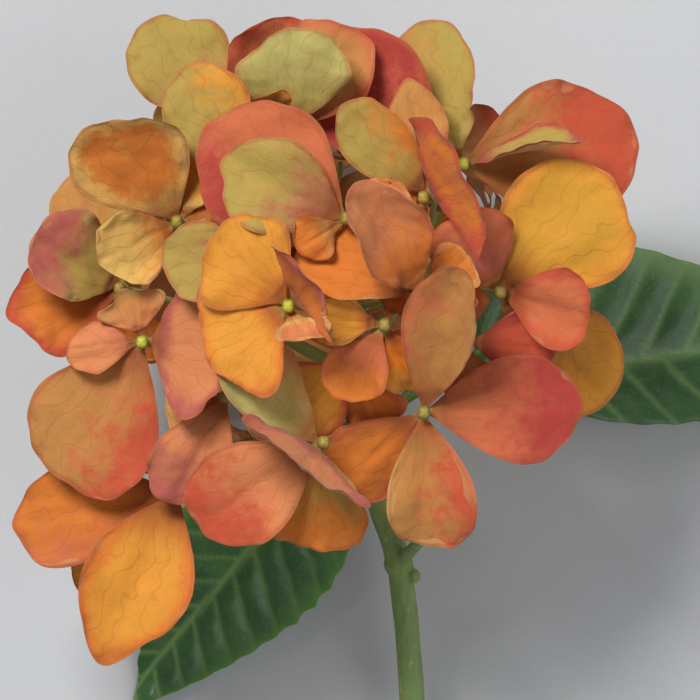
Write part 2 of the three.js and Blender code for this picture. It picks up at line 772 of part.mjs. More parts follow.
const obstacles = [];
function addObstacle(solid) {
  obstacles.push({ solid, box: solid.boundingBox() });
}
[mainStalk, ...rays, ...pedicels].forEach(addObstacle);
Object.values(leaves).map(toSolid).forEach(addObstacle);
for (const floret of FLORETS) {
  addObstacle(toSolid(ball(BUD_RADIUS + 2 * GAP, budCentre(floret))));
  addObstacle(toSolid(ball(HUB_RADIUS + 2 * GAP, floret.hub)));
}

function standsClear(skins, guard) {
  const box = guard.boundingBox();
  if (skins.lower.flat().some((p) => p.z < -REST_DEPTH - 0.01)) return false;
  const near = obstacles.filter((other) => boxesMeet(box, other.box));
  return near.every((other) => guard.intersect(other.solid).isEmpty());
}

function placeSepal(floret, shape) {
  for (const scale of SHRINKS) {
    for (const change of CHANGES) {
      const skins = sepalSkins(floret, shape, { ...change, scale }, SEPAL_THICKNESS);
      const guardSkins = sepalSkins(floret, shape, { ...change, scale }, SEPAL_THICKNESS + 2 * GAP);
      const guard = sepalSolid(guardSkins, straightRoot);
      if (standsClear(skins, guard)) {
        addObstacle(guard);
        return skins;
      }
    }
  }
  throw new Error(floret.name + " has a sepal with no room");
}

for (const floret of FLORETS) {
  floret.skins = floret.shapes.map((shape) => placeSepal(floret, shape));
}

// ---------------------------------------------------------------- materials and nodes
function material(color, roughness) {
  return new THREE.MeshStandardMaterial({ color, roughness, metalness: 0 });
}
const sepalMaterial = material(0xd08a4a, 0.85);
const budMaterial = material(0x9fae32, 0.6);
const stemMaterial = material(0x647d46, 0.5);
const leafMaterial = material(0x3c642d, 0.4);

const hydrangea = new THREE.Group();
hydrangea.name = "cut_hydrangea";

function addPiece(name, geometry, surface) {
  geometry.computeVertexNormals();
  const mesh = new THREE.Mesh(geometry, surface);
  mesh.name = name;
  hydrangea.add(mesh);
}

addPiece("stem", toGeometry(stemSolid), stemMaterial);
for (const [name, geometry] of Object.entries(leaves)) addPiece(name, geometry, leafMaterial);
for (const floret of FLORETS) {
  addPiece("sepals_" + floret.name, floretGeometry(floret), sepalMaterial);
  addPiece("bud_" + floret.name, budGeometry(floret), budMaterial);
}

// The whole flower stands on z = 0 with the middle of its footprint at the origin.
const bounds = new THREE.Box3().setFromObject(hydrangea);
const middle = bounds.getCenter(new THREE.Vector3());
hydrangea.children.forEach((mesh) => mesh.position.set(-middle.x, -middle.y, REST_DEPTH));

export default hydrangea;
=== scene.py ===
import itertools
import math

import bmesh
import bpy
import numpy as np
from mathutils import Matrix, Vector, noise


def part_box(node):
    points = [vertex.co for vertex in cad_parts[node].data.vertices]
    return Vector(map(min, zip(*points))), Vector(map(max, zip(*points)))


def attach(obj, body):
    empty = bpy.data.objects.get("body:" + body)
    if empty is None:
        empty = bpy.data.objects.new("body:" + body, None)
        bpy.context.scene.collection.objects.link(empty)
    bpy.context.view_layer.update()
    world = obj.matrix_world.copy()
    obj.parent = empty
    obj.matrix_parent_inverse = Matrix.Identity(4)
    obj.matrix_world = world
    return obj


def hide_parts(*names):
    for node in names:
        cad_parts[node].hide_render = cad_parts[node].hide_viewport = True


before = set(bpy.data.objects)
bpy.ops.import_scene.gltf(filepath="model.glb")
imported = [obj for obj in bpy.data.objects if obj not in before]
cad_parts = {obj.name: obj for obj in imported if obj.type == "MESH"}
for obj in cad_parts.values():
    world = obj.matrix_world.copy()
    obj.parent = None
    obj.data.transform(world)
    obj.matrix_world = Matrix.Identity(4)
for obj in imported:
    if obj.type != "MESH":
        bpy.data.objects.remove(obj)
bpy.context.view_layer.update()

MM = 0.001
WELD = 0.002 * MM  # corners of the frame's triangles that are one point
HUB_HALF = 0.55 * MM  # from the middle of a floret's hub to its top
HUB_REACH = 3.5 * MM  # a floret's points nearer than this to the middle of its hub are the hub and claws
SHARP = math.radians(50)  # a skin stops where its faces turn more than this
SEPAL_LEVELS = 3
THINNED = 0.17 * MM  # each skin of a sepal moves in by this, to the thin rim that a sepal has
CURLS_MM = (-1.2, 2.0)  # how far a sepal's sides and tip may curl back or up
FLUTE = 0.75 * MM  # waves along its sides
SWELL = 0.45 * MM  # waves across its middle
FOLD = 1.5 * MM  # rise on both sides of the line that it folds along
FOLD_SLANT = 0.6  # the most that this line runs askew
MIDRIB = 0.28 * MM  # depth of the groove along its middle
MIDRIB_WIDTH = 0.035  # share of its length
BLADE_WAVE, BLADE_LUMP = 0.8 * MM, 8 * MM  # height and size of its lumps
RIM_WAVE, RIM_LUMP = 0.9 * MM, 4.5 * MM
RIB = 0.16 * MM  # puckers between its fanned veins
GRAIN, GRAIN_LUMP = 0.22 * MM, 2.2 * MM
OUTLINE_WAVES = ((3.1, 0.045), (6.3, 0.03), (13, 0.01), (31, 0.005))  # rate and height round its rim
PATCH_LUMP = 7 * MM  # patches where its second colour spreads
RIM_SEED, PUCKER_SEED, PATCH_SEED, OUTLINE_SEED = 40, 60, 80, 1000
STEM_VOXEL = 0.45 * MM
FLOOR_GAP = 0.05 * MM  # the lowest that any point lies above the surface

# ---------------------------------------------------------------- colours


def srgb(red, green, blue):
    """A colour given as 0 to 255, as the linear numbers that shaders take."""
    return tuple(((c / 255 + 0.055) / 1.055) ** 2.4 for c in (red, green, blue))


OLIVE = srgb(176, 150, 72)
SAGE = srgb(186, 174, 100)
MUSTARD = srgb(208, 150, 48)
GOLD = srgb(222, 148, 50)
ORANGE = srgb(216, 122, 44)
BRIGHT = srgb(228, 120, 22)
PEACH = srgb(214, 132, 82)
SALMON = srgb(200, 106, 66)
CORAL = srgb(198, 82, 54)
CRIMSON = srgb(176, 62, 54)
ROSE = srgb(184, 96, 82)
TAN = srgb(192, 132, 68)
BROWN = srgb(150, 86, 42)
CREAM = srgb(218, 174, 90)

# Each floret's sepals: direction seen from above, rise, colour, second colour, where the second colour
# lies (tip, base, left, right or rim, seen from the hub) and how far it spreads from there.
SEPAL_COLOURS = {
    "centre": [
        (136, 14, GOLD, ORANGE, "base", 0.45),
        (214, 6, GOLD, ORANGE, "rim", 0.4),
        (36, 40, ORANGE, CORAL, "tip", 0.45),
        (-66, 40, PEACH, CREAM, "rim", 0.4),
    ],
    "curled": [
        (126, 20, PEACH, ORANGE, "base", 0.6),
        (150, 4, ORANGE, BROWN, "base", 0.4),
        (-40, 0, ORANGE, CORAL, "rim", 0.3),
        (40, -15, ORANGE, BROWN, "base", 0.5),
    ],
    "low_right": [
        (78, 22, TAN, SALMON, "left", 0.5),
        (3, 4, SALMON, CRIMSON, "tip", 0.5),
        (275, 0, TAN, CORAL, "left", 0.6),
        (222, -2, ORANGE, SALMON, "rim", 0.35),
    ],
    "inner_right": [
        (172, 14, GOLD, ORANGE, "rim", 0.4),
        (-62, 12, BRIGHT, GOLD, "tip", 0.4),
        (240, 4, SALMON, ORANGE, "tip", 0.5),
        (60, -20, ORANGE, BROWN, "base", 0.5),
    ],
    "top_middle": [
        (155, 20, OLIVE, ROSE, "base", 0.45),
        (146, 2, SALMON, CRIMSON, "left", 0.5),
        (212, 10, TAN, ORANGE, "tip", 0.5),
        (20, -22, TAN, ORANGE, "rim", 0.4),
    ],
    "low_middle": [
        (233, 64, PEACH, ROSE, "rim", 0.4),
        (133, 16, SAGE, TAN, "right", 0.5),
        (213, -4, PEACH, CORAL, "tip", 0.45),
        (268, -6, ORANGE, OLIVE, "base", 0.6),
    ],
    "drooping_left": [
        (248, 14, GOLD, ORANGE, "rim", 0.45),
        (192, 5, ORANGE, SALMON, "left", 0.5),
        (229, -20, ORANGE, GOLD, "tip", 0.5),
        (110, -5, BROWN, ROSE, "base", 0.6),
    ],
    "left_eye": [
        (-5, 40, PEACH, ROSE, "rim", 0.45),
        (239, 2, TAN, CORAL, "left", 0.55),
        (185, 6, PEACH, ROSE, "base", 0.4),
        (108, 22, PEACH, TAN, "tip", 0.4),
    ],
    "inner_top_left": [
        (190, 0, OLIVE, ROSE, "base", 0.55),
        (-12, 6, SALMON, CRIMSON, "rim", 0.5),
        (95, -18, BROWN, ORANGE, "tip", 0.4),
        (262, -8, ORANGE, BROWN, "base", 0.4),
    ],
    "right": [
        (46, 14, MUSTARD, GOLD, "rim", 0.45),
        (122, 34, SALMON, ROSE, "base", 0.5),
        (-16, 18, SALMON, CORAL, "rim", 0.4),
        (-44, -14, TAN, GOLD, "tip", 0.5),
    ],
    "top_right_eye": [
        (8, 24, OLIVE, CRIMSON, "rim", 0.4),
        (8, 0, TAN, CORAL, "tip", 0.55),
        (215, 6, OLIVE, BROWN, "tip", 0.5),
        (110, 10, OLIVE, SAGE, "base", 0.5),
    ],
    "folded_right": [
        (27, 62, ORANGE, CORAL, "rim", 0.5),
        (132, 16, OLIVE, ORANGE, "right", 0.5),
        (98, 16, TAN, ROSE, "base", 0.45),
        (250, -10, ORANGE, BROWN, "base", 0.5),
    ],
    "below_centre": [
        (228, 4, GOLD, CORAL, "rim", 0.35),
        (290, -4, ORANGE, SALMON, "rim", 0.4),
        (5, -10, ORANGE, BROWN, "base", 0.5),
        (110, -15, ORANGE, BROWN, "base", 0.5),
    ],
    "inner_left": [
        (243, 2, PEACH, ROSE, "tip", 0.45),
        (108, 0, TAN, BROWN, "base", 0.5),
        (190, -12, SALMON, TAN, "tip", 0.5),
        (335, -10, TAN, ORANGE, "tip", 0.5),
    ],
    "upper_left": [
        (120, 12, OLIVE, GOLD, "right", 0.45),
        (172, 40, CRIMSON, CORAL, "tip", 0.5),
        (25, -14, GOLD, ORANGE, "tip", 0.5),
        (262, -10, ORANGE, GOLD, "tip", 0.5),
    ],
    "cupped_left": [
        (122, 16, ORANGE, CREAM, "rim", 0.45),
        (62, 22, GOLD, CREAM, "rim", 0.4),
        (10, 26, PEACH, ORANGE, "base", 0.45),
        (205, 14, CREAM, ORANGE, "base", 0.5),
    ],
    "crown_middle": [
        (88, 34, SAGE, OLIVE, "base", 0.5),
        (64, 4, TAN, SALMON, "rim", 0.4),
        (142, 38, TAN, GOLD, "rim", 0.45),
        (-60, 0, ORANGE, BROWN, "base", 0.5),
    ],
    "left": [
        (150, 30, OLIVE, ROSE, "tip", 0.5),
        (192, 10, ORANGE, CORAL, "rim", 0.45),
        (112, -6, OLIVE, TAN, "tip", 0.5),
        (275, -30, ORANGE, BROWN, "base", 0.5),
    ],
    "inner_low_right": [
        (4, 14, CORAL, CRIMSON, "rim", 0.4),
        (100, -12, SALMON, ORANGE, "tip", 0.5),
        (190, -14, ORANGE, BROWN, "base", 0.5),
        (280, -12, TAN, SALMON, "tip", 0.5),
    ],
    "crown_left": [
        (130, 0, OLIVE, ROSE, "base", 0.4),
        (52, 2, SALMON, CORAL, "rim", 0.4),
        (205, -28, TAN, OLIVE, "tip", 0.5),
        (-30, -34, ORANGE, BROWN, "base", 0.5),
    ],
    "crown_right": [
        (138, 6, CRIMSON, SALMON, "base", 0.5),
        (92, -6, OLIVE, TAN, "left", 0.5),
        (20, -38, TAN, CORAL, "tip", 0.5),
        (250, -26, BROWN, ORANGE, "tip", 0.5),
    ],
}
FRESH_EYES = ("centre", "left_eye", "top_right_eye")  # green and yellow; the others have dulled
PLAIN_COLOURS = [
    (TAN, CORAL, "tip", 0.45),
    (ORANGE, GOLD, "rim", 0.4),
    (SALMON, CRIMSON, "rim", 0.35),
    (OLIVE, ROSE, "base", 0.45),
]

# ---------------------------------------------------------------- shader helpers


class Shader:
    """A material's node tree, with short calls that add a node and join it to what feeds it."""

    def __init__(self, name):
        self.material = bpy.data.materials.new(name)
        self.material.use_nodes = True
        self.tree = self.material.node_tree
        self.surface = self.tree.nodes["Principled BSDF"]

    def feed(self, socket, value):
        if isinstance(value, bpy.types.NodeSocket):
            self.tree.links.new(value, socket)
        elif hasattr(socket.default_value, "__len__") and len(value) == 3 and len(socket.default_value) == 4:
            socket.default_value = (*value, 1)
        else:
            socket.default_value = value

    def attribute(self, name, output="Fac"):
        node = self.tree.nodes.new("ShaderNodeAttribute")
        node.attribute_name = name
        return node.outputs[output]

    def place(self):
        return self.tree.nodes.new("ShaderNodeTexCoord").outputs["Object"]

    def math(self, operation, first, second=0.0, clamp=False):
        node = self.tree.nodes.new("ShaderNodeMath")
        node.operation = operation
        node.use_clamp = clamp
        self.feed(node.inputs[0], first)
        self.feed(node.inputs[1], second)
        return node.outputs[0]

    def mix(self, share, first, second, blend="MIX"):
        node = self.tree.nodes.new("ShaderNodeMix")
        node.data_type = "RGBA"
        node.blend_type = blend
        self.feed(node.inputs[0], share)
        self.feed(node.inputs[6], first)
        self.feed(node.inputs[7], second)
        return node.outputs[2]

    def noise(self, vector, scale, detail=3.0, roughness=0.55, distortion=0.0):
        node = self.tree.nodes.new("ShaderNodeTexNoise")
        self.feed(node.inputs["Vector"], vector)
        self.feed(node.inputs["Scale"], scale)
        self.feed(node.inputs["Detail"], detail)
        self.feed(node.inputs["Roughness"], roughness)
        self.feed(node.inputs["Distortion"], distortion)
        return node.outputs["Fac"]

    def stretch(self, vector, scale):
        node = self.tree.nodes.new("ShaderNodeMapping")
        self.feed(node.inputs["Vector"], vector)
        self.feed(node.inputs["Scale"], scale)
        return node.outputs["Vector"]

    def ramp(self, value, low, high):
        """0 at low to 1 at high, smoothly, and beyond them no further."""
        node = self.tree.nodes.new("ShaderNodeMapRange")
        node.interpolation_type = "SMOOTHSTEP"
        self.feed(node.inputs["Value"], value)
        self.feed(node.inputs["From Min"], low)
        self.feed(node.inputs["From Max"], high)
        return node.outputs["Result"]

    def split(self, vector):
        node = self.tree.nodes.new("ShaderNodeSeparateXYZ")
        self.feed(node.inputs[0], vector)
        return node.outputs

    def bump(self, height, strength, depth):
        node = self.tree.nodes.new("ShaderNodeBump")
        self.feed(node.inputs["Height"], height)
        self.feed(node.inputs["Strength"], strength)
        self.feed(node.inputs["Distance"], depth)
        return node.outputs["Normal"]


def sepal_material():
    """Matt petal: two mottled colours, fan veins, a fine reddish rim, a paler underside and painted shade,
    darker and browner towards the claw.
    """
    s = Shader("sepal")
    place = s.place()
    spot = s.split(s.attribute("spot", "Vector"))
    mottle = s.noise(place, 260, 4, 0.62)
    speckle = s.noise(place, 1500, 3, 0.6)
    grain = s.noise(place, 5200, 2, 0.5)

    spread = s.math("ADD", s.attribute("spread"), s.math("MULTIPLY", s.math("SUBTRACT", mottle, 0.5), 1.3))
    spread = s.math("ADD", spread, s.math("MULTIPLY", s.math("SUBTRACT", speckle, 0.5), 0.5))
    colour = s.mix(s.ramp(spread, 0.1, 0.95), s.attribute("tint", "Color"), s.attribute("blush", "Color"))

    # veins fan from the claw, and wander a little
    angle = s.math("ARCTAN2", spot[1], s.math("ADD", spot[0], 0.12))
    wander = s.math("MULTIPLY", s.math("SUBTRACT", s.noise(place, 130, 1), 0.5), 0.45)
    ray = s.math("ABSOLUTE", s.math("SINE", s.math("MULTIPLY", s.math("ADD", angle, wander), 17)))
    vein = s.ramp(ray, 0.3, 0.0)
    web = s.noise(place, 520, 1, 0.4, 1.2)
    web = s.ramp(s.math("ABSOLUTE", s.math("SUBTRACT", web, 0.5)), 0.03, 0.0)
    lines = s.math("MAXIMUM", s.math("MULTIPLY", vein, 0.8), s.math("MULTIPLY", web, 0.35))
    colour = s.mix(s.math("MULTIPLY", lines, 0.3), colour, srgb(164, 80, 40))

    light = s.math("ADD", 0.62, s.math("MULTIPLY", speckle, 0.36))
    light = s.math("ADD", light, s.math("MULTIPLY", mottle, 0.42))
    colour = s.mix(1.0, colour, s.mix(light, (0, 0, 0), (1, 1, 1)), "MULTIPLY")
    under = s.attribute("under")
    colour = s.mix(s.math("MULTIPLY", under, 0.3), colour, srgb(206, 178, 116))
    rim = s.math("POWER", s.attribute("rim"), 9.0)
    colour = s.mix(s.math("MULTIPLY", rim, 0.5), colour, srgb(170, 78, 48))
    # painted shade: darker and browner towards the claw, where the sepals crowd together at the hub
    reach = s.math("ADD", s.math("POWER", spot[0], 2), s.math("POWER", spot[1], 2))
    painted_claw_shade = s.ramp(s.math("POWER", reach, 0.5), 0.42, 0.05)
    colour = s.mix(s.math("MULTIPLY", painted_claw_shade, 0.7), colour, srgb(142, 78, 34))

    s.feed(s.surface.inputs["Base Color"], colour)
    s.feed(s.surface.inputs["Roughness"], s.math("ADD", 0.62, s.math("MULTIPLY", grain, 0.3)))
    s.surface.inputs["Specular IOR Level"].default_value = 0.25
    s.surface.inputs["Sheen Weight"].default_value = 0.12
    s.surface.inputs["Sheen Roughness"].default_value = 0.5
    height = s.math("ADD", s.math("MULTIPLY", lines, -0.6), s.math("MULTIPLY", grain, 0.5))
    height = s.math("ADD", height, s.math("MULTIPLY", speckle, 0.6))
    s.feed(s.surface.inputs["Normal"], s.bump(height, 0.6, 0.16 * MM))
    return s.material


def leaf_material():
    """Glossy toothed leaf: pinnate veins, quilted between them, brighter at the teeth, paler below."""
    s = Shader("leaf")
    place = s.place()
    mottle = s.noise(place, 90, 4, 0.6)
    fine = s.noise(place, 900, 3, 0.6)
    colour = s.mix(s.ramp(mottle, 0.3, 0.75), srgb(44, 92, 40), srgb(74, 124, 58))
    colour = s.mix(s.math("MULTIPLY", fine, 0.35), colour, srgb(38, 78, 34))
    vein = s.attribute("vein")
    colour = s.mix(s.math("MULTIPLY", vein, 0.75), colour, srgb(132, 168, 92))
    net = s.noise(place, 420, 1, 0.4, 1.0)
    net = s.ramp(s.math("ABSOLUTE", s.math("SUBTRACT", net, 0.5)), 0.04, 0.0)
    colour = s.mix(s.math("MULTIPLY", net, 0.25), colour, srgb(96, 140, 74))
    rim = s.math("POWER", s.attribute("rim"), 4.0)
    colour = s.mix(s.math("MULTIPLY", rim, 0.7), colour, srgb(96, 150, 50))
    colour = s.mix(s.math("MULTIPLY", s.attribute("under"), 0.5), colour, srgb(128, 156, 96))
    s.feed(s.surface.inputs["Base Color"], colour)
    s.feed(s.surface.inputs["Roughness"], s.math("ADD", 0.3, s.math("MULTIPLY", mottle, 0.25)))
    s.surface.inputs["Specular IOR Level"].default_value = 0.5
    s.surface.inputs["Coat Weight"].default_value = 0.35
    s.surface.inputs["Coat Roughness"].default_value = 0.3
    height = s.math("SUBTRACT", s.math("MULTIPLY", fine, 0.4), s.math("MULTIPLY", net, 0.5))
    s.feed(s.surface.inputs["Normal"], s.bump(height, 0.5, 0.2 * MM))
    return s.material


def stem_material():
    """Green stalk with lengthwise streaks and pale flecks, yellower inside the head, pithy at the cut."""
    s = Shader("stem")
    place = s.place()
    streak = s.noise(s.stretch(place, (1.0, 0.08, 1.0)), 900, 3, 0.6)
    patch = s.noise(place, 70, 3, 0.6)
    fleck = s.ramp(s.noise(s.stretch(place, (1.0, 0.35, 1.0)), 700, 1, 0.4), 0.66, 0.74)
    colour = s.mix(streak, srgb(92, 122, 64), srgb(146, 170, 100))
    colour = s.mix(s.math("MULTIPLY", s.ramp(patch, 0.45, 0.75), 0.5), colour, srgb(146, 138, 82))
    colour = s.mix(s.math("MULTIPLY", fleck, 0.5), colour, srgb(176, 178, 124))
    colour = s.mix(s.attribute("young"), colour, s.mix(streak, srgb(140, 156, 76), srgb(176, 182, 98)))
    pith = s.mix(s.noise(place, 900, 3), srgb(206, 208, 156), srgb(232, 228, 188))
    colour = s.mix(s.attribute("cut"), colour, pith)
    s.feed(s.surface.inputs["Base Color"], colour)
    s.feed(s.surface.inputs["Roughness"], s.math("ADD", 0.38, s.math("MULTIPLY", streak, 0.25)))
    s.surface.inputs["Specular IOR Level"].default_value = 0.4
    s.feed(s.surface.inputs["Normal"], s.bump(streak, 0.5, 0.25 * MM))
    return s.material


def bud_material():
    """The small closed flower at a floret's middle: green, yellow at its crown."""
    s = Shader("bud")
    place = s.place()
    spots = s.noise(place, 1600, 2, 0.5)
    fresh = s.mix(s.attribute("crown"), srgb(112, 134, 40), srgb(206, 200, 60))
    dull = s.mix(s.attribute("crown"), srgb(120, 96, 44), srgb(168, 138, 62))
    colour = s.mix(s.attribute("fresh"), dull, fresh)
    colour = s.mix(s.math("MULTIPLY", spots, 0.4), colour, srgb(150, 160, 60))
    s.feed(s.surface.inputs["Base Color"], colour)
    s.feed(s.surface.inputs["Roughness"], s.math("ADD", 0.35, s.math("MULTIPLY", spots, 0.3)))
    s.feed(s.surface.inputs["Normal"], s.bump(spots, 0.4, 0.1 * MM))
    return s.material


def floor_material():
    """Plain pale paper."""
    s = Shader("floor")
    fibre = s.noise(s.place(), 600, 2, 0.5)
    s.feed(s.surface.inputs["Base Color"], s.mix(fibre, srgb(196, 198, 200), srgb(202, 204, 206)))
    s.surface.inputs["Roughness"].default_value = 0.9
    return s.material


# ---------------------------------------------------------------- cages from the frame


def cage_of(node):
    """A copy of a CAD node's mesh with its triangles joined at their corners."""
    cage = bmesh.new()
    cage.from_mesh(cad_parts[node].data)
    bmesh.ops.remove_doubles(cage, verts=cage.verts, dist=WELD)
    cage.normal_update()
    cage.verts.index_update()
    layers = layers_of(cage)
    return cage, layers


def middle_of(node):
    low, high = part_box(node)
    return (Vector(low) + Vector(high)) / 2


def skins_of(cage, hub):
    """The smooth sheets of faces between sharp edges, apart from the hub's, largest first."""
    free = {face for face in cage.faces if not any(v in hub for v in face.verts)}
    skins = []
    while free:
        skin = {free.pop()}
        edge = list(skin)
        while edge:
            face = edge.pop()
            for border in face.edges:
                if len(border.link_faces) != 2 or border.calc_face_angle(0) > SHARP:
                    continue
                for other in border.link_faces:
                    if other in free:
                        free.remove(other)
                        skin.add(other)
                        edge.append(other)
        skins.append(skin)
    return sorted(skins, key=len, reverse=True)


class Skin:
    """One side of a sepal or leaf: its points, with the way its faces look at each."""

    def __init__(self, faces):
        self.faces = faces
        self.verts = sorted({v for face in faces for v in face.verts}, key=lambda v: v.index)
        self.centre = sum((v.co for v in self.verts), Vector()) / len(self.verts)
        self.looks = {}
        for v in self.verts:
            self.looks[v] = sum((f.normal * f.calc_area() for f in v.link_faces if f in faces), Vector())
        self.mean = sum(self.looks.values(), Vector()).normalized()


def layers_of(cage):
    make = cage.verts.layers
    return {
        "spot": make.float_vector.new("spot"),
        "up": make.float_vector.new("up"),
        "rim": make.float.new("rim"),
        "under": make.float.new("under"),
        "number": make.float.new("number"),
    }


def note_blade(layers, upper, lower, root, number):
    """Writes on a blade's points where they lie in it: along and across in shares of its length."""
    ahead = upper.centre - root
    face = (upper.mean - lower.mean).normalized()
    ahead = (ahead - face * ahead.dot(face)).normalized()
    side = face.cross(ahead)
    points = upper.verts + lower.verts
    length = max((v.co - root).dot(ahead) for v in points)
    for skin, under in ((upper, 0.0), (lower, 1.0)):
        for v in skin.verts:
            out = v.co - root
            v[layers["spot"]] = Vector((out.dot(ahead), out.dot(side), 0)) / length
            v[layers["up"]] = skin.looks[v].normalized() * (1 - 2 * under)
            v[layers["rim"]] = float(any(f not in skin.faces for f in v.link_faces))
            v[layers["under"]] = under
            v[layers["number"]] = number


def to_object(cage, name, levels, crease=False):
    """The cage as a smooth object of quads, subdivided."""
    if crease:
        layer = cage.edges.layers.float.new("crease_edge")
        for border in cage.edges:
            if border.calc_face_angle(0) > SHARP:
                border[layer] = 0.7
    bmesh.ops.join_triangles(
        cage,
        faces=cage.faces,
        angle_face_threshold=math.radians(38),
        angle_shape_threshold=math.radians(75),
    )
    mesh = bpy.data.meshes.new(name)
    cage.to_mesh(mesh)
    cage.free()
    piece = bpy.data.objects.new(name, mesh)
    bpy.context.scene.collection.objects.link(piece)
    smooth = piece.modifiers.new("smooth", "SUBSURF")
    smooth.levels = levels
    smooth.render_levels = levels
    return bake_modifiers(piece)


def bake_modifiers(piece):
    """Replaces the object's mesh by what its modifiers make of it."""
    graph = bpy.context.evaluated_depsgraph_get()
    made = bpy.data.meshes.new_from_object(piece.evaluated_get(graph), depsgraph=graph)
    piece.modifiers.clear()
    piece.data = made
    made.shade_smooth()
    return piece


def read(mesh, name, width):
    data = mesh.attributes[name].data
    values = np.empty(len(data) * width, dtype=np.float32)
    data.foreach_get("vector" if width == 3 else "value", values)
    return values.reshape(-1, width) if width > 1 else values


def write(mesh, name, kind, values):
    layer = mesh.attributes.get(name) or mesh.attributes.new(name, kind, "POINT")
    field = "color" if kind == "FLOAT_COLOR" else "value"
    layer.data.foreach_set(field, np.ascontiguousarray(values).ravel())


def directions(mesh):
    """The way out of its skin that each point has."""
    up = read(mesh, "up", 3)
    return up / np.maximum(np.linalg.norm(up, axis=1, keepdims=True), 1e-6)


def places(mesh):
    values = np.empty(len(mesh.vertices) * 3, dtype=np.float32)
    mesh.vertices.foreach_get("co", values)
    return values.reshape(-1, 3)


def move(mesh, points):
    """Gives the mesh its new points, none of them below the surface that the flower lies on."""
    points[:, 2] = np.maximum(points[:, 2], FLOOR_GAP)
    mesh.vertices.foreach_set("co", np.ascontiguousarray(points, dtype=np.float32).ravel())
    mesh.update()


def rough(points, size, seed):
    """Smooth noise from -1 to 1 at each point, with lumps of about size."""
    shift = Vector((seed * 3.1, seed * 1.7, seed * 2.3))
    return np.array([noise.noise(Vector(p) / size + shift) for p in points], dtype=np.float32)


def finish_piece(piece, node, material):
    piece.data.materials.clear()
    piece.data.materials.append(material)
    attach(piece, "root")
    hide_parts(node)


# ---------------------------------------------------------------- florets


def directions_fit(rows, ways):
    """The order of rows whose directions lie closest to ways."""
    aims = []
    for aim, rise, *_ in rows:
        a, r = math.radians(aim), math.radians(rise)
        aims.append(Vector((math.cos(r) * math.cos(a), math.cos(r) * math.sin(a), math.sin(r))))
    orders = itertools.permutations(range(len(rows)))
    return max(orders, key=lambda order: sum(aims[k].dot(way) for k, way in zip(order, ways)))


def spread_of(where, along, across, rim):
    """How strongly the second colour shows, from where it lies."""
    return {
        "tip": along * 1.5 - 0.5,
        "base": 0.8 - along * 1.2,
        "left": across * 1.6 + 0.1,
        "right": 0.1 - across * 1.6,
        "rim": rim * 0.9,
    }[where]


def curl_of(along, across, seed):
    """How far a sepal's points lift as its sides and tip curl and its blade flutes, by its own draw."""
    draw = np.random.default_rng(seed)
    left, right, tip = draw.uniform(*CURLS_MM, 3) * MM
    first, second, third = draw.uniform(0, 2 * np.pi, 3)
    slant = draw.uniform(-FOLD_SLANT, FOLD_SLANT)
    out = across / max(np.abs(across).max(), 1e-6)
    open_blade = np.clip(along * 2.2 - 0.2, 0, 1)
    lift = left * np.clip(out, 0, 1) ** 2.2 + right * np.clip(-out, 0, 1) ** 2.2
    lift += tip * np.clip((along - 0.5) / 0.5, 0, 1.2) ** 2
    lift += FLUTE * np.sin(2 * np.pi * 2.1 * along + first) * np.abs(out) ** 1.6
    lift += SWELL * np.cos(1.7 * np.pi * out + second + 2 * along) * (1 - out**2)
    from_fold = np.abs(out - slant * along - 0.35 * np.sin(third))
    lift += draw.choice((-1.0, 1.0)) * FOLD * np.clip(from_fold, 0, 0.6)
    return lift * open_blade


def pucker_of(along, across, points, seed):
    """The fine relief of a petal: fanned veins that lie low, puckered between them."""
    angle = np.arctan2(across, along + 0.12)
    wander = 0.12 * rough(points, 5 * MM, seed)
    ribs = np.abs(np.sin((angle + wander) * 9))
    return RIB * ribs + GRAIN * rough(points, GRAIN_LUMP, seed + 7)


def outline_of(along, across, seed):
    """How far each part of a sepal reaches, as a share of its plain oval: its rim waves in and out."""
    draw = np.random.default_rng(seed + OUTLINE_SEED)
    phases = draw.uniform(0, 2 * np.pi, len(OUTLINE_WAVES))
    angle = np.arctan2(across, np.maximum(along, 1e-3))
    wave = sum(height * np.sin(rate * angle + phase) for (rate, height), phase in zip(OUTLINE_WAVES, phases))
    return 1 + wave * np.clip(along * 2, 0, 1)


def sepal_pairs(cage, hub, top, facing):
    """The upper and lower skin of each sepal, in order around the hub, which is the same in every run."""
    skins = [Skin(faces) for faces in skins_of(cage, hub)[:8]]
    pairs = []
    while skins:
        first = skins.pop(0)
        second = min(skins, key=lambda skin: (skin.centre - first.centre).length)
        skins.remove(second)
        outer = first.mean.dot(facing) > second.mean.dot(facing)
        pairs.append((first, second) if outer else (second, first))
    return sorted(pairs, key=lambda pair: math.atan2(*(pair[0].centre - top).yx))


def sepal_colours(name, number, pairs, top):
    """Each sepal's two colours, where the second lies and how far it spreads."""
    if name not in SEPAL_COLOURS:
        return [PLAIN_COLOURS[(k + number) % len(PLAIN_COLOURS)] for k in range(len(pairs))]
    rows = SEPAL_COLOURS[name]
    ways = [(upper.centre - top).normalized() for upper, _ in pairs]
    return [rows[k][2:] for k in directions_fit(rows, ways)]


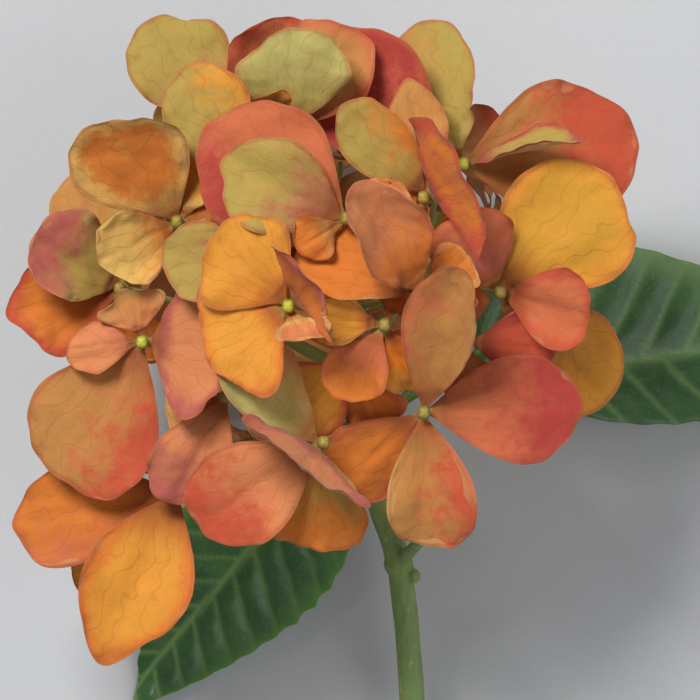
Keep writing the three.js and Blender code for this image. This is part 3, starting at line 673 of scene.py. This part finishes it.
def shape_sepals(mesh, root, number, count):
    """Thins the blades, curls and flutes them, grooves their midribs and ripples and waves their rims."""
    points = places(mesh)
    up = directions(mesh)
    spot, rim, under = read(mesh, "spot", 3), read(mesh, "rim", 1), read(mesh, "under", 1)
    which = np.rint(read(mesh, "number", 1)).astype(int)
    along, across = np.clip(spot[:, 0], 0, 1.2), spot[:, 1]
    lift = -THINNED * (1 - 2 * under)
    for k in range(count):
        mine = which == k
        lift[mine] += curl_of(along[mine], across[mine], number * 8 + k)
    groove = np.exp(-((across / MIDRIB_WIDTH) ** 2)) * (1 - rim)
    lift -= MIDRIB * groove * np.clip(along * 3, 0, 1)
    lift += BLADE_WAVE * rough(points, BLADE_LUMP, number) * np.clip(along * 2, 0, 1)
    lift += RIM_WAVE * rim**2 * rough(points, RIM_LUMP, number + RIM_SEED)
    lift += pucker_of(along, across, points, number + PUCKER_SEED) * np.clip(along * 3, 0, 1)
    points += up * lift[:, None]
    for k in range(count):
        mine = which == k
        reach = outline_of(along[mine], across[mine], number * 8 + k)
        points[mine] = root + (points[mine] - root) * reach[:, None]
    move(mesh, points)
    return points, along, across, rim, which


def colour_sepals(mesh, colours, number, shape):
    """Writes each point's two colours and how strongly the second shows."""
    points, along, across, rim, which = shape
    tint = np.ones((len(points), 4), dtype=np.float32)
    blush = np.ones((len(points), 4), dtype=np.float32)
    spread = np.zeros(len(points), dtype=np.float32)
    patches = rough(points, PATCH_LUMP, number + PATCH_SEED)
    for k, (base, second, where, amount) in enumerate(colours):
        mine = which == k
        tint[mine, :3] = base
        blush[mine, :3] = second
        reach = spread_of(where, along[mine], across[mine], rim[mine])
        spread[mine] = np.clip(reach * (0.6 + amount) + (amount - 0.35) + 0.22 * patches[mine], 0, 1)
    loose = (which < 0) | (which >= len(colours))
    tint[loose, :3] = SAGE
    blush[loose, :3] = OLIVE
    write(mesh, "tint", "FLOAT_COLOR", tint)
    write(mesh, "blush", "FLOAT_COLOR", blush)
    write(mesh, "spread", "FLOAT", spread)


def floret(name, number, material):
    """One floret's four sepals and hub. Returns the way that its hub looks."""
    node = "sepals_" + name
    cage, layers = cage_of(node)
    eye = middle_of("bud_" + name)
    top = min(cage.verts, key=lambda v: (v.co - eye).length).co.copy()
    facing = (eye - top).normalized()
    middle = top - facing * HUB_HALF
    hub = {v for v in cage.verts if (v.co - middle).length < HUB_REACH}
    pairs = sepal_pairs(cage, hub, top, facing)
    for k, (upper, lower) in enumerate(pairs):
        note_blade(layers, upper, lower, top, k)
    for v in hub:
        v[layers["up"]] = facing
        v[layers["number"]] = -1
    colours = sepal_colours(name, number, pairs, top)
    piece = to_object(cage, "floret_" + name, SEPAL_LEVELS)
    root = np.array(top, dtype=np.float32)
    shape = shape_sepals(piece.data, root, number, len(colours))
    colour_sepals(piece.data, colours, number, shape)
    finish_piece(piece, node, material)
    return facing


def bud(name, facing, material):
    """A closed flower bud: the CAD bead drawn into four lobes, yellow at its crown."""
    node = "bud_" + name
    middle = middle_of(node)
    piece = to_object(cage_of(node)[0], "eye_" + name, 2)
    mesh = piece.data
    points = places(mesh)
    axis = np.array(facing, dtype=np.float32)
    side = np.array(facing.orthogonal().normalized(), dtype=np.float32)
    other = np.cross(axis, side)
    out = points - np.array(middle, dtype=np.float32)
    turn = np.arctan2(out @ other, out @ side)
    height = out @ axis
    size = np.abs(height).max()
    crown = np.clip(height / size, -1, 1)
    lobes = 1 + 0.07 * np.cos(4 * turn) * (0.4 + 0.6 * crown)
    taper = np.where(crown > 0, 1.08 - 0.1 * crown, 1.08)
    points = np.array(middle, dtype=np.float32) + out * (lobes * taper)[:, None]
    move(mesh, points)
    write(mesh, "crown", "FLOAT", np.clip(crown * 1.4 - 0.3, 0, 1).astype(np.float32))
    write(mesh, "fresh", "FLOAT", np.full(len(points), float(name in FRESH_EYES), dtype=np.float32))
    finish_piece(piece, node, material)


# ---------------------------------------------------------------- leaves
VEIN_SPACING = 0.085  # of the leaf's length, from one side vein to the next
VEIN_SLANT = 0.75  # how far a side vein runs forward for each step outwards


def leaf(node, number, material):
    cage, layers = cage_of(node)
    stem = middle_of("stem")
    skins = [Skin(faces) for faces in skins_of(cage, set())[:2]]
    upper, lower = sorted(skins, key=lambda skin: -skin.mean.z)
    reach = sorted(cage.verts, key=lambda v: (v.co - upper.centre).length, reverse=True)
    ends = [reach[0], max(reach, key=lambda v: (v.co - reach[0].co).length)]
    root = min(ends, key=lambda v: v.link_faces and (v.co - Vector((stem.x, v.co.y, v.co.z))).length)
    note_blade(layers, upper, lower, root.co.copy(), 0)
    piece = to_object(cage, node + "_blade", SEPAL_LEVELS, crease=True)
    mesh = piece.data
    points = places(mesh)
    spot = read(mesh, "spot", 3)
    up = directions(mesh)
    rim = read(mesh, "rim", 1)
    along = spot[:, 0]
    across = np.abs(spot[:, 1])
    blade = np.clip((across - 0.02) / 0.03, 0, 1)
    phase = (along - VEIN_SLANT * across) / VEIN_SPACING
    phase += np.where(spot[:, 1] > 0, 0.5, 0.0) + 0.12 * rough(points, 18 * MM, number)
    distance = np.abs(phase - np.rint(phase)) * VEIN_SPACING
    side_vein = np.exp(-((distance / 0.008) ** 2)) * np.clip(1 - across * 2.4, 0.15, 1)
    midrib = np.exp(-((across / (0.014 - 0.008 * np.clip(along, 0, 1))) ** 2))
    vein = np.maximum(midrib, side_vein * 0.8)
    quilt = np.abs(np.sin(np.pi * phase)) * blade * (1 - rim)
    lift = 1.0 * MM * quilt - 0.6 * MM * midrib * (1 - rim)
    lift += 0.5 * MM * rough(points, 12 * MM, number + 5) * blade
    points += up * lift[:, None]
    move(mesh, points)
    write(mesh, "vein", "FLOAT", vein.astype(np.float32))
    finish_piece(piece, node, material)


# ---------------------------------------------------------------- stem


def stem(material):
    """The stalks grown together: remeshed so that their joints flow, then ridged."""
    cage, _ = cage_of("stem")
    mesh = bpy.data.meshes.new("stalks")
    cage.to_mesh(mesh)
    cage.free()
    piece = bpy.data.objects.new("stalks", mesh)
    bpy.context.scene.collection.objects.link(piece)
    grown = piece.modifiers.new("grown", "REMESH")
    grown.mode = "VOXEL"
    grown.voxel_size = STEM_VOXEL * 1
    relaxed = piece.modifiers.new("relaxed", "SMOOTH")
    relaxed.factor = 0.5
    relaxed.iterations = 6
    bake_modifiers(piece)
    mesh = piece.data
    points = places(mesh)
    normals = np.empty(len(points) * 3, dtype=np.float32)
    mesh.vertices.foreach_get("normal", normals)
    normals = normals.reshape(-1, 3)
    low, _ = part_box("stem")
    head = middle_of("bud_centre")
    young = np.clip((points[:, 1] - (head.y - 55 * MM)) / (25 * MM), 0, 1)
    from_end = points[:, 1] - low[1]
    cut = (normals[:, 1] < -0.55) & (from_end < 6 * MM)
    ridges = rough(points * np.array([1, 0.12, 1], dtype=np.float32), 1.6 * MM, 3)
    points += normals * (0.14 * MM * ridges * (1 - young))[:, None]
    move(mesh, points)
    write(mesh, "young", "FLOAT", young.astype(np.float32))
    write(mesh, "cut", "FLOAT", cut.astype(np.float32))
    finish_piece(piece, "stem", material)


# ---------------------------------------------------------------- camera, floor and light


def aim(thing, place, target):
    thing.location = place
    thing.rotation_euler = (Vector(target) - Vector(place)).to_track_quat("-Z", "Y").to_euler()


VIEW_RIGHT, VIEW_DOWN = 14.8 * MM, 10.5 * MM  # from the centre floret's bud to the middle of the view
VIEW_WIDTH = 168 * MM
VIEW_DISTANCE = 1.5


def add_camera():
    """Straight above the flower, with a long lens on the head, both leaves' roots and the stem's top."""
    eye = middle_of("bud_centre")
    centre = Vector((eye.x + VIEW_RIGHT, eye.y - VIEW_DOWN, eye.z))
    data = bpy.data.cameras.new("camera")
    data.sensor_width = 36
    data.lens = data.sensor_width * VIEW_DISTANCE / VIEW_WIDTH
    camera = bpy.data.objects.new("camera", data)
    bpy.context.scene.collection.objects.link(camera)
    camera.location = centre + Vector((0, 0, VIEW_DISTANCE))
    bpy.context.scene.camera = camera
    return centre


def add_floor():
    mesh = bpy.data.meshes.new("floor")
    half = 3.0
    corners = [(-half, -half, 0), (half, -half, 0), (half, half, 0), (-half, half, 0)]
    mesh.from_pydata(corners, [], [(0, 1, 2, 3)])
    mesh.materials.append(floor_material())
    floor = bpy.data.objects.new("floor", mesh)
    bpy.context.scene.collection.objects.link(floor)


def add_light(name, place, target, size, power):
    data = bpy.data.lights.new(name, "AREA")
    data.size = size
    data.energy = power
    lamp = bpy.data.objects.new(name, data)
    bpy.context.scene.collection.objects.link(lamp)
    aim(lamp, place, target)


def add_studio(centre):
    add_floor()
    add_light("key", centre + Vector((-0.5, 0.75, 1.1)), centre, 0.5, 20)
    add_light("fill", centre + Vector((0.8, -0.3, 0.9)), centre, 1.0, 4)
    world = bpy.data.worlds.new("studio")
    world.use_nodes = True
    world.node_tree.nodes["Background"].inputs["Color"].default_value = (0.93, 0.96, 1.0, 1)
    world.node_tree.nodes["Background"].inputs["Strength"].default_value = 0.24
    bpy.context.scene.world = world
    bpy.context.scene.view_settings.view_transform = "Standard"


# ---------------------------------------------------------------- the whole flower
add_studio(add_camera())
petals, eyes, blades = sepal_material(), bud_material(), leaf_material()
names = sorted(node[len("sepals_"):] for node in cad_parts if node.startswith("sepals_"))
for count, name in enumerate(names):
    bud(name, floret(name, count, petals), eyes)
leaf("leaf_left", 1, blades)
leaf("leaf_right", 2, blades)
stem(stem_material())
